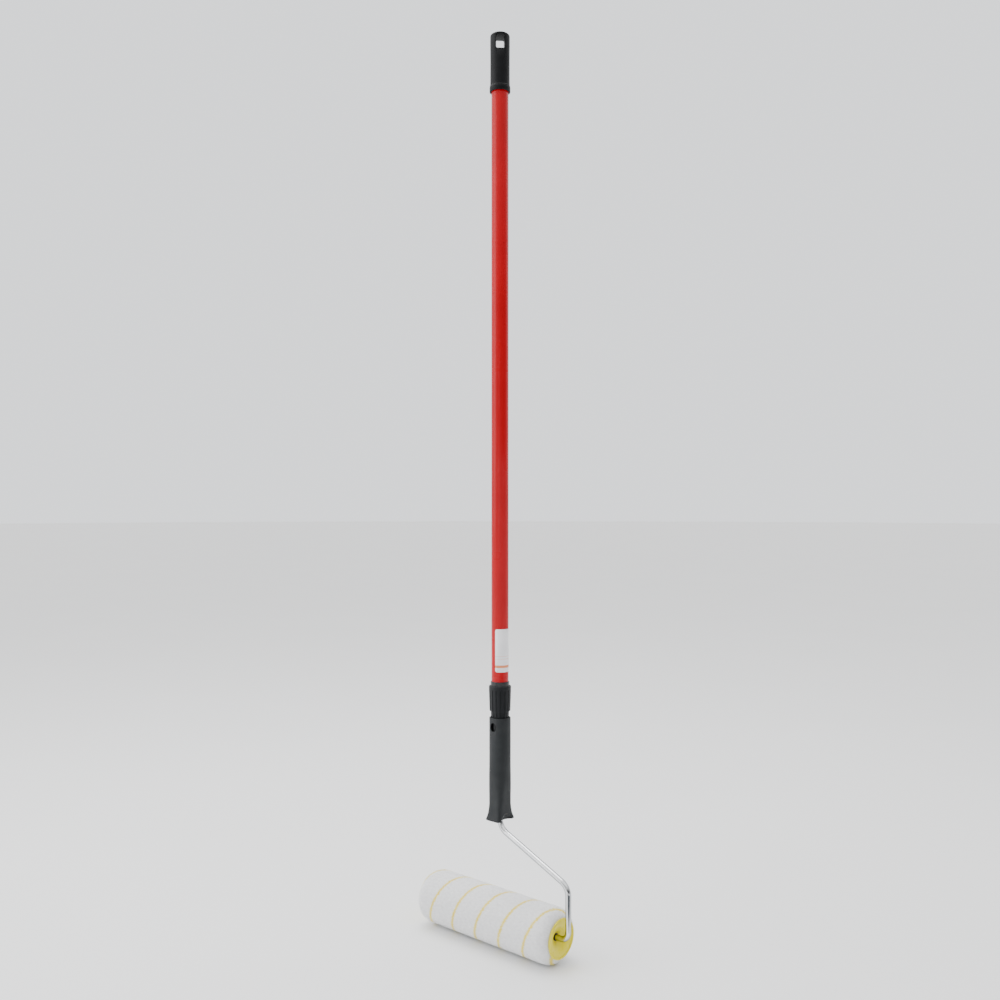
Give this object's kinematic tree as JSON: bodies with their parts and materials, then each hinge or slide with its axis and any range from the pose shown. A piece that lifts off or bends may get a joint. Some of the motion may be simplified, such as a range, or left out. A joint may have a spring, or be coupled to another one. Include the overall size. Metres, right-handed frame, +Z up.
{
  "type": "paint roller",
  "caption": "Long-pile paint roller on a bent wire frame, its handle pushed onto the cone tip of a twist-lock telescopic pole with a hang hole.",
  "frame": {"origin": "on the axis of the roller's handle, halfway up the handle, where the hand closes round it", "axes": "+Z up the pole; +X along the refill's axle towards the side where the wire comes down; -Y is the front, the way the handle's hang slot faces"},
  "size_m": [0.2685, 0.079, 1.321],
  "materials": {
    "red_paint": "glossy red enamel on a thin steel tube",
    "black_grip": "fine-grained black moulding",
    "gloss_black": "glossy black moulding",
    "label": "plain white paper sticker with a satin face",
    "grey_nylon": "natural grey nylon moulding",
    "black_nut": "satin black moulding",
    "steel_tube": "drawn galvanised tube",
    "black_handle": "matte charcoal-black moulding",
    "zinc_wire": "bright zinc plate on round steel rod",
    "core_plastic": "extruded plastic tube",
    "nap_pile": "long white pile with thin yellow thread stripes in a helix",
    "yellow_cap": "smooth green-yellow moulding"
  },
  "bodies": {
    "pole": {"outer_tube": "red_paint", "end_grip": "black_grip", "lock_ferrule": "gloss_black", "pole_label": "label"},
    "collet": {"split_collet": "grey_nylon"},
    "nut": {"lock_nut": "black_nut"},
    "inner_pole": {"inner_tube": "steel_tube", "guide_bush": "grey_nylon", "cone_tip": "black_nut"},
    "roller_frame": {"roller_handle": "black_handle", "frame_wire": "zinc_wire", "stop_washer": "black_nut"},
    "clip": {"axle_clip": "grey_nylon"},
    "refill": {"sleeve_core": "core_plastic", "sleeve_pile": "nap_pile", "near_end_cap": "yellow_cap", "far_end_cap": "yellow_cap"}
  },
  "joints": [
    {"name": "pole_pull_off", "type": "slide", "parent": "roller_frame", "child": "inner_pole", "axis": [0, 0, 1], "range_m": [0, 0.08]},
    {"name": "pole_extend", "type": "slide", "parent": "inner_pole", "child": "pole", "axis": [0, 0, 1], "range_m": [0, 0.85]},
    {"name": "collet_slide", "type": "slide", "parent": "pole", "child": "collet", "axis": [0, 0, -1], "range_m": [0, 0.001]},
    {"name": "nut_twist", "type": "hinge", "parent": "collet", "child": "nut", "pos_m": [0, 0, 0.102], "axis": [0, 0, 1], "range_deg": [0, 180]},
    {"name": "refill_pull_off", "type": "slide", "parent": "roller_frame", "child": "clip", "axis": [-1, 0, 0], "range_m": [0, 0.27]},
    {"name": "refill_spin", "type": "hinge", "parent": "clip", "child": "refill", "pos_m": [-0.013, 0, -0.2165], "axis": [1, 0, 0], "continuous": true}
  ],
  "couplings": [
    {"joint": "nut_twist", "follows": "collet_slide", "rad_per_m": 3141.6}
  ]
}
